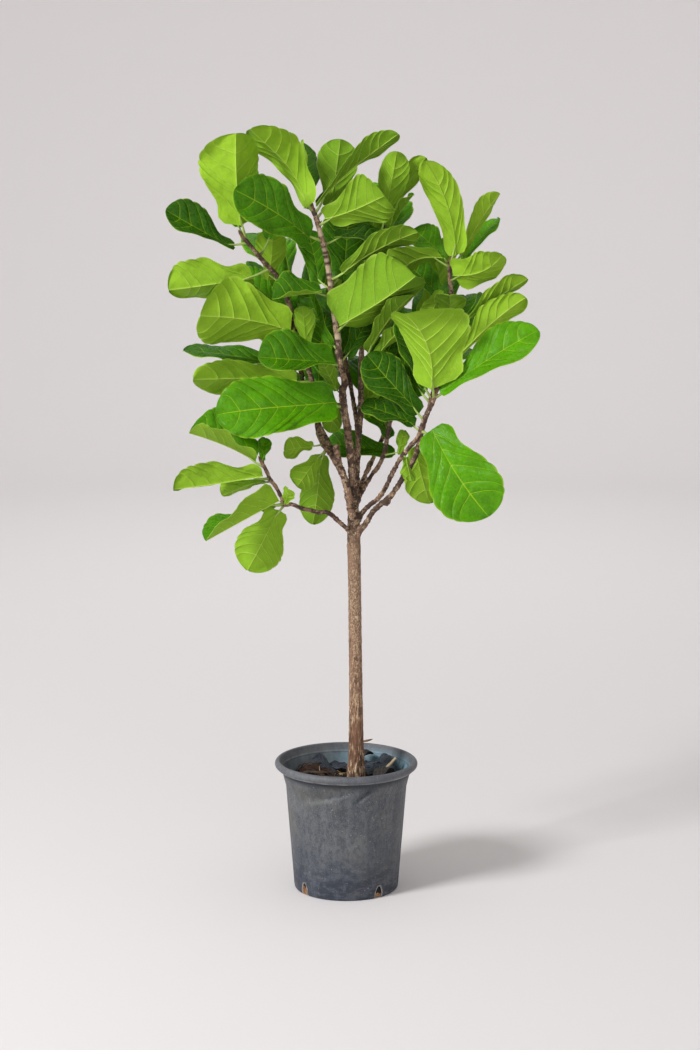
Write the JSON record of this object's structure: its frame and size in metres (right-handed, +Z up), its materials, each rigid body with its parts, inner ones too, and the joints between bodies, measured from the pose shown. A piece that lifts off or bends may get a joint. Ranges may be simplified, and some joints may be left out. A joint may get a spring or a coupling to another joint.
{
  "type": "potted fiddle leaf fig",
  "caption": "Young fiddle leaf fig tree with a bare trunk, forked limbs and a crown of large glossy leaves, standing in the soil of a tapered plastic nursery pot",
  "frame": {"origin": "centre of the pot's round foot, on the surface that it stands on", "axes": "+Z is up, along the trunk; +X is to the right and -Y is towards a viewer who looks at the tree's best side"},
  "size_m": [0.7981, 0.5607, 1.6908],
  "materials": {
    "pot_plastic": "matte",
    "soil": "matte",
    "dead_wood": "matte",
    "dry_leaf": "matte",
    "bark": "matte",
    "leaf": "satin"
  },
  "bodies": {
    "root": {"pot": "pot_plastic", "soil": "soil", "twig_pale": "dead_wood", "twig_dark": "dead_wood", "root_surface": "dead_wood", "dry_leaf_right": "dry_leaf", "dry_leaf_back": "dry_leaf", "trunk": "bark", "leafy_leader_low": "leaf", "leafy_leader_middle": "leaf", "leafy_leader_top": "leaf", "leafy_left_low": "leaf", "leafy_left_middle": "leaf", "leafy_left_top": "leaf", "leafy_back_low": "leaf", "leafy_back_top": "leaf", "leafy_inner": "leaf", "leafy_right_low": "leaf", "leafy_right_middle": "leaf", "leafy_right_top": "leaf", "leafy_front": "leaf", "leafy_low": "leaf", "leafy_rear_left": "leaf", "leafy_rear_right": "leaf", "leafy_rear": "leaf"}
  },
  "joints": []
}
